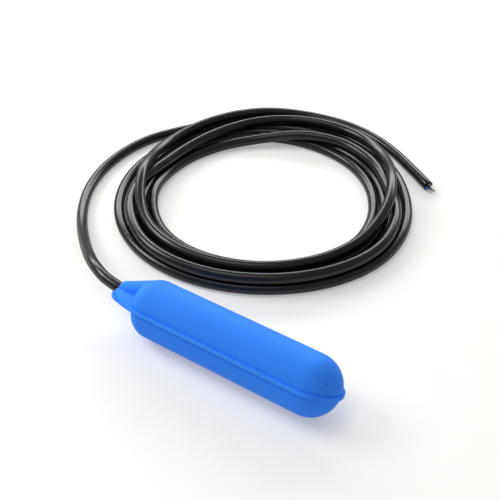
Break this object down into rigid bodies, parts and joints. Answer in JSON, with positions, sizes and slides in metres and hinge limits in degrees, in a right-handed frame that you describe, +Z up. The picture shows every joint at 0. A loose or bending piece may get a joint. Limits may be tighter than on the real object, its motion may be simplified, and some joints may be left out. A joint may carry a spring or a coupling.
{
  "type": "float switch",
  "caption": "Slim cable float switch: a sealed moulded float whose rolling ball works a microswitch, on a rubber cable laid in a loose coil.",
  "frame": {"origin": "centre of the float's bounding box at floor level, without the free cable", "axes": "+X along the float towards its nose, +Z up, the float lying on its belly and rolled about X"},
  "size_m": [0.3115, 0.3306, 0.04],
  "materials": {
    "float_blue": "satin",
    "cable_rubber": "satin",
    "bush_rubber": "matte",
    "seal_rubber": "matte",
    "case_plastic": "matte",
    "cap_plastic": "matte",
    "carrier_plastic": "satin",
    "switch_plastic": "satin",
    "cover_plastic": "satin",
    "plunger_plastic": "glossy",
    "screw_steel": "satin",
    "ball_steel": "polished",
    "spring_steel": "satin",
    "contact_brass": "satin",
    "sleeve_plastic": "satin",
    "core_brown": "satin",
    "core_blue": "satin",
    "core_black": "satin",
    "tinned_copper": "satin"
  },
  "bodies": {
    "float": {"shell_upper": "float_blue", "shell_lower": "float_blue", "cable_sheath": "cable_rubber", "cable_bush": "bush_rubber", "cable_clamp": "cap_plastic", "clamp_screws": "screw_steel", "switch_case": "case_plastic", "case_cap": "cap_plastic", "cap_seal": "seal_rubber", "cable_grommet": "bush_rubber", "gland_ring": "sleeve_plastic", "switch_carrier": "carrier_plastic", "race_plug": "carrier_plastic", "lever_pin": "screw_steel", "switch_base": "switch_plastic", "switch_cover": "cover_plastic", "common_terminal": "contact_brass", "open_terminal": "contact_brass", "closed_terminal": "contact_brass", "switch_screws": "screw_steel", "switch_nuts": "screw_steel", "crimp_receptacles": "contact_brass", "crimp_sleeves": "sleeve_plastic", "core_blue": "core_blue", "core_brown": "core_brown", "core_black": "core_black", "cable_lead": "cable_rubber", "cable_coil": "cable_rubber", "cable_tail": "cable_rubber", "free_core_blue": "core_blue", "free_core_brown": "core_brown", "free_core_black": "core_black", "end_ferrules": "tinned_copper"},
    "ball": {"steel_ball": "ball_steel"},
    "lever": {"switch_lever": "spring_steel"},
    "plunger": {"switch_plunger": "plunger_plastic"},
    "blade": {"contact_blade": "contact_brass"}
  },
  "joints": [
    {"name": "ball_roll", "type": "slide", "parent": "float", "child": "ball", "axis": [-1, 0, 0], "range_m": [0, 0.016]},
    {"name": "lever_swing", "type": "hinge", "parent": "float", "child": "lever", "pos_m": [0.01555, -0.00522, 0.00975], "axis": [0, -0.891, 0.454], "range_deg": [0, 6.1]},
    {"name": "plunger_travel", "type": "slide", "parent": "float", "child": "plunger", "axis": [-1, 0, 0], "range_m": [0, 0.001]},
    {"name": "blade_swing", "type": "hinge", "parent": "float", "child": "blade", "pos_m": [0.0114, -0.00325, 0.01363], "axis": [0, -0.891, 0.454], "range_deg": [0, 2.28]}
  ],
  "couplings": [
    {"joint": "lever_swing", "follows": "ball_roll", "rad_per_m": 6.654},
    {"joint": "plunger_travel", "follows": "ball_roll", "ratio": 0.0625},
    {"joint": "blade_swing", "follows": "ball_roll", "rad_per_m": 2.487}
  ]
}
